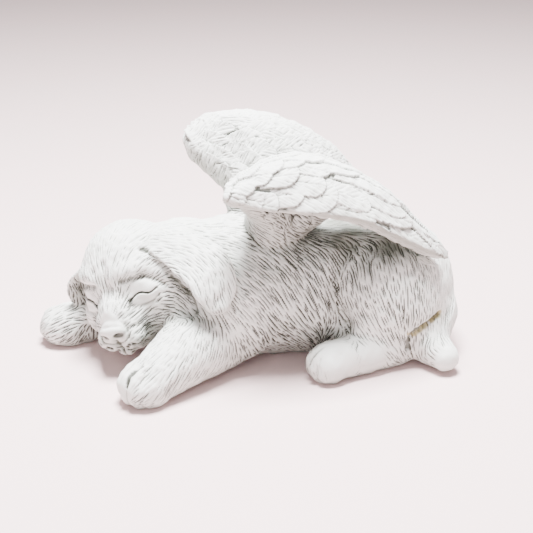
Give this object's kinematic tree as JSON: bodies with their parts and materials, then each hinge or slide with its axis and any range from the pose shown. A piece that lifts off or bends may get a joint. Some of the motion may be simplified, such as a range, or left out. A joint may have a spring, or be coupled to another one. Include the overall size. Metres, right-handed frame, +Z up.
{
  "type": "pet memorial statue",
  "caption": "Sleeping puppy with folded angel wings, a small cast resin garden memorial that rests flat on its belly and paws.",
  "frame": {"origin": "a point of the flat underside, below the chest and between the wings, where the statue rests", "axes": "+Z up, -Y the way the body points, from tail to forepaws, +X the puppy's left, the side its face is turned to"},
  "size_m": [0.1337, 0.2342, 0.1292],
  "materials": {
    "resin_stone": "matt off-white cast resin stone with a thin grey-green wash in the carved grooves"
  },
  "bodies": {
    "root": {"winged_puppy": "resin_stone"}
  },
  "joints": []
}
